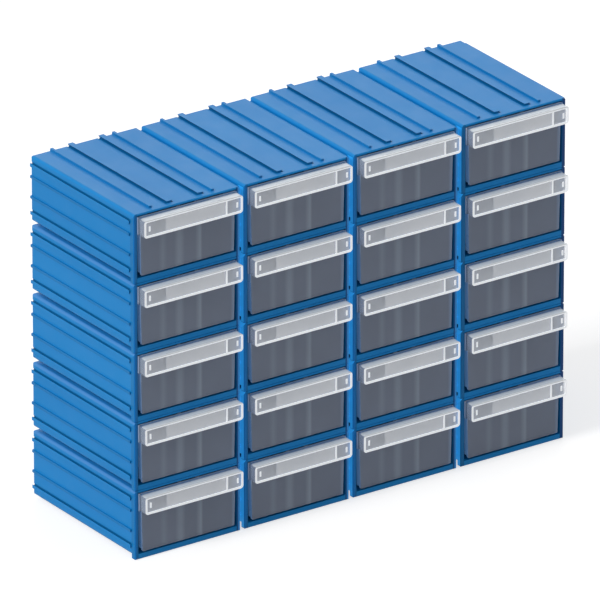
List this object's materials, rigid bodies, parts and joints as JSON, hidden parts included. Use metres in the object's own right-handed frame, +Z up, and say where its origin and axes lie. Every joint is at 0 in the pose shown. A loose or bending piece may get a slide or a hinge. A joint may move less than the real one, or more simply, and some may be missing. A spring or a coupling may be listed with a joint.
{
  "type": "parts bin cabinet",
  "caption": "Parts bin cabinet: a block of interlocking moulded plastic housings, each with a clear drawer that slides out and a handle bar that holds a label card.",
  "frame": {"origin": "middle of the block's box, on the surface that it stands on", "axes": "+X to the right along the row of columns, +Y from the drawer fronts to the back, +Z up"},
  "size_m": [0.4812, 0.1762, 0.3422],
  "materials": {
    "housing": "semi-gloss moulded blue plastic",
    "drawer": "clear, slightly smoky moulded plastic",
    "card": "plain pale card behind clear plastic"
  },
  "bodies": {
    "housings": {"housing_c1r1": "housing", "housing_c1r2": "housing", "housing_c1r3": "housing", "housing_c1r4": "housing", "housing_c1r5": "housing", "housing_c2r1": "housing", "housing_c2r2": "housing", "housing_c2r3": "housing", "housing_c2r4": "housing", "housing_c2r5": "housing", "housing_c3r1": "housing", "housing_c3r2": "housing", "housing_c3r3": "housing", "housing_c3r4": "housing", "housing_c3r5": "housing", "housing_c4r1": "housing", "housing_c4r2": "housing", "housing_c4r3": "housing", "housing_c4r4": "housing", "housing_c4r5": "housing"},
    "drawer_c1r1": {"drawer_c1r1": "drawer", "label_card_c1r1": "card"},
    "drawer_c1r2": {"drawer_c1r2": "drawer", "label_card_c1r2": "card"},
    "drawer_c1r3": {"drawer_c1r3": "drawer", "label_card_c1r3": "card"},
    "drawer_c1r4": {"drawer_c1r4": "drawer", "label_card_c1r4": "card"},
    "drawer_c1r5": {"drawer_c1r5": "drawer", "label_card_c1r5": "card"},
    "drawer_c2r1": {"drawer_c2r1": "drawer", "label_card_c2r1": "card"},
    "drawer_c2r2": {"drawer_c2r2": "drawer", "label_card_c2r2": "card"},
    "drawer_c2r3": {"drawer_c2r3": "drawer", "label_card_c2r3": "card"},
    "drawer_c2r4": {"drawer_c2r4": "drawer", "label_card_c2r4": "card"},
    "drawer_c2r5": {"drawer_c2r5": "drawer", "label_card_c2r5": "card"},
    "drawer_c3r1": {"drawer_c3r1": "drawer", "label_card_c3r1": "card"},
    "drawer_c3r2": {"drawer_c3r2": "drawer", "label_card_c3r2": "card"},
    "drawer_c3r3": {"drawer_c3r3": "drawer", "label_card_c3r3": "card"},
    "drawer_c3r4": {"drawer_c3r4": "drawer", "label_card_c3r4": "card"},
    "drawer_c3r5": {"drawer_c3r5": "drawer", "label_card_c3r5": "card"},
    "drawer_c4r1": {"drawer_c4r1": "drawer", "label_card_c4r1": "card"},
    "drawer_c4r2": {"drawer_c4r2": "drawer", "label_card_c4r2": "card"},
    "drawer_c4r3": {"drawer_c4r3": "drawer", "label_card_c4r3": "card"},
    "drawer_c4r4": {"drawer_c4r4": "drawer", "label_card_c4r4": "card"},
    "drawer_c4r5": {"drawer_c4r5": "drawer", "label_card_c4r5": "card"}
  },
  "joints": [
    {"name": "slide_c1r1", "type": "slide", "parent": "housings", "child": "drawer_c1r1", "axis": [0, -1, 0], "range_m": [0, 0.125]},
    {"name": "slide_c1r2", "type": "slide", "parent": "housings", "child": "drawer_c1r2", "axis": [0, -1, 0], "range_m": [0, 0.125]},
    {"name": "slide_c1r3", "type": "slide", "parent": "housings", "child": "drawer_c1r3", "axis": [0, -1, 0], "range_m": [0, 0.125]},
    {"name": "slide_c1r4", "type": "slide", "parent": "housings", "child": "drawer_c1r4", "axis": [0, -1, 0], "range_m": [0, 0.125]},
    {"name": "slide_c1r5", "type": "slide", "parent": "housings", "child": "drawer_c1r5", "axis": [0, -1, 0], "range_m": [0, 0.125]},
    {"name": "slide_c2r1", "type": "slide", "parent": "housings", "child": "drawer_c2r1", "axis": [0, -1, 0], "range_m": [0, 0.125]},
    {"name": "slide_c2r2", "type": "slide", "parent": "housings", "child": "drawer_c2r2", "axis": [0, -1, 0], "range_m": [0, 0.125]},
    {"name": "slide_c2r3", "type": "slide", "parent": "housings", "child": "drawer_c2r3", "axis": [0, -1, 0], "range_m": [0, 0.125]},
    {"name": "slide_c2r4", "type": "slide", "parent": "housings", "child": "drawer_c2r4", "axis": [0, -1, 0], "range_m": [0, 0.125]},
    {"name": "slide_c2r5", "type": "slide", "parent": "housings", "child": "drawer_c2r5", "axis": [0, -1, 0], "range_m": [0, 0.125]},
    {"name": "slide_c3r1", "type": "slide", "parent": "housings", "child": "drawer_c3r1", "axis": [0, -1, 0], "range_m": [0, 0.125]},
    {"name": "slide_c3r2", "type": "slide", "parent": "housings", "child": "drawer_c3r2", "axis": [0, -1, 0], "range_m": [0, 0.125]},
    {"name": "slide_c3r3", "type": "slide", "parent": "housings", "child": "drawer_c3r3", "axis": [0, -1, 0], "range_m": [0, 0.125]},
    {"name": "slide_c3r4", "type": "slide", "parent": "housings", "child": "drawer_c3r4", "axis": [0, -1, 0], "range_m": [0, 0.125]},
    {"name": "slide_c3r5", "type": "slide", "parent": "housings", "child": "drawer_c3r5", "axis": [0, -1, 0], "range_m": [0, 0.125]},
    {"name": "slide_c4r1", "type": "slide", "parent": "housings", "child": "drawer_c4r1", "axis": [0, -1, 0], "range_m": [0, 0.125]},
    {"name": "slide_c4r2", "type": "slide", "parent": "housings", "child": "drawer_c4r2", "axis": [0, -1, 0], "range_m": [0, 0.125]},
    {"name": "slide_c4r3", "type": "slide", "parent": "housings", "child": "drawer_c4r3", "axis": [0, -1, 0], "range_m": [0, 0.125]},
    {"name": "slide_c4r4", "type": "slide", "parent": "housings", "child": "drawer_c4r4", "axis": [0, -1, 0], "range_m": [0, 0.125]},
    {"name": "slide_c4r5", "type": "slide", "parent": "housings", "child": "drawer_c4r5", "axis": [0, -1, 0], "range_m": [0, 0.125]}
  ]
}
